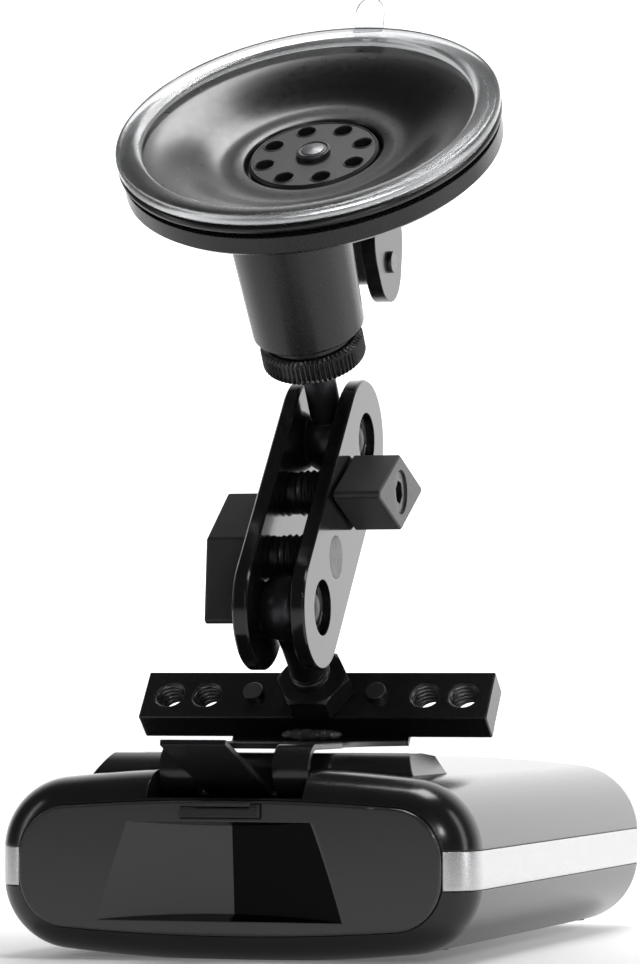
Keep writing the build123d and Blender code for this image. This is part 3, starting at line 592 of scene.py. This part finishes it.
# ---------------------------------------------------------------- stage, light and camera
# Studio: white behind the object, dim in front of it.
FRONT_EDGE, BACK_EDGE = 0.3, 0.9
FRONT_GLOW, BACK_GLOW = 0.05, 1.7
# The floor's glow is emission painted onto it, not a lamp.
FLOOR_GLOW = 0.62
FLOOR_FADE = (-0.12, 0.20)   # the floor's glow rises over this stretch of Y
LIGHTS = (
    ("key_right", (0.55, -0.75, 0.40), (0.10, 0.10), 1.0),
    ("strip_left", (-0.75, -0.35, 0.25), (0.05, 0.9), 0.8),
    ("strip_right", (0.70, -0.05, 0.25), (0.12, 0.9), 1.2),
    ("front_streak", (0.28, -0.70, 0.10), (0.02, 0.5), 0.5),
    ("top", (0.05, 0.10, 0.95), (0.5, 0.3), 5.0),
)
AIM = Vector((0, 0, 0.08))   # every lamp points here


def make_floor():
    """A pale floor with a painted glow that rises behind the object."""
    bm = bmesh.new()
    bmesh.ops.create_grid(bm, x_segments=2, y_segments=2, size=3.0)
    floor = from_bmesh("floor", bm)
    paint = material("floor_paint", (0.86, 0.86, 0.86), 0.6, spread=0.01, grain=40, bump=0.02)
    tree = paint.node_tree
    shader = tree.nodes["Principled BSDF"]
    shader.inputs["Emission Color"].default_value = (1, 1, 1, 1)
    where = tree.nodes.new("ShaderNodeTexCoord")
    split = tree.nodes.new("ShaderNodeSeparateXYZ")
    fade = tree.nodes.new("ShaderNodeMapRange")
    fade.inputs["From Min"].default_value, fade.inputs["From Max"].default_value = FLOOR_FADE
    fade.inputs["To Max"].default_value = FLOOR_GLOW
    tree.links.new(where.outputs["Object"], split.inputs["Vector"])
    tree.links.new(split.outputs["Y"], fade.inputs["Value"])
    tree.links.new(fade.outputs["Result"], shader.inputs["Emission Strength"])
    floor.data.materials.append(paint)


def make_world():
    """A white surround that lights from behind, is dim in front and is always white to the camera."""
    world = bpy.data.worlds.new("studio")
    world.use_nodes = True
    tree = world.node_tree
    background = tree.nodes["Background"]
    place = tree.nodes.new("ShaderNodeTexCoord")
    split = tree.nodes.new("ShaderNodeSeparateXYZ")
    tree.links.new(place.outputs["Generated"], split.inputs["Vector"])
    sweep = tree.nodes.new("ShaderNodeMapRange")
    sweep.interpolation_type = "SMOOTHSTEP"
    for name, value in (("From Min", FRONT_EDGE), ("From Max", BACK_EDGE),
                        ("To Min", FRONT_GLOW), ("To Max", BACK_GLOW)):
        sweep.inputs[name].default_value = value
    tree.links.new(split.outputs["Y"], sweep.inputs["Value"])
    path = tree.nodes.new("ShaderNodeLightPath")
    brighter = tree.nodes.new("ShaderNodeMath")
    brighter.operation = "MAXIMUM"
    tree.links.new(sweep.outputs["Result"], brighter.inputs[0])
    tree.links.new(path.outputs["Is Camera Ray"], brighter.inputs[1])
    tree.links.new(brighter.outputs["Value"], background.inputs["Strength"])
    background.inputs["Color"].default_value = (1.0, 1.0, 1.0, 1)
    bpy.context.scene.world = world
    bpy.context.scene.view_settings.view_transform = "Standard"


def make_lights():
    """Soft rectangular lamps, each turned towards the middle of the object."""
    for name, place, size, power in LIGHTS:
        data = bpy.data.lights.new(name, "AREA")
        data.shape = "RECTANGLE"
        data.size, data.size_y = size
        data.energy = power
        lamp = bpy.data.objects.new(name, data)
        lamp.location = place
        lamp.rotation_euler = (AIM - Vector(place)).to_track_quat("-Z", "Y").to_euler()
        bpy.context.scene.collection.objects.link(lamp)


# Camera: nearly level, 17 degrees round to the right of the sensor face, with a long lens.
CAMERA_PLACE = (0.25773, -0.84326, 0.05204)
CAMERA_RIGHT = Vector((0.95502, 0.29654, 0.0))
CAMERA_FORWARD = Vector((-0.29630, 0.95425, 0.04013))
CAMERA_LENS = 171.8


def make_camera():
    """The camera that looks at the sensor face from the right."""
    data = bpy.data.cameras.new("camera")
    data.lens = CAMERA_LENS
    data.sensor_width = 36.0
    camera = bpy.data.objects.new("camera", data)
    upward = CAMERA_RIGHT.cross(CAMERA_FORWARD)
    turn = Matrix((CAMERA_RIGHT, upward, -CAMERA_FORWARD)).transposed().to_4x4()
    turn.translation = CAMERA_PLACE
    camera.matrix_world = turn
    bpy.context.scene.collection.objects.link(camera)
    bpy.context.scene.camera = camera


# paints a dark reflection into the scoop
paint_scoop_reflection()
dress_cad_nodes()
make_cup()
make_hub_details()
make_threads()
make_lock_ring()
make_bead()
make_floor()
make_world()
make_lights()
make_camera()
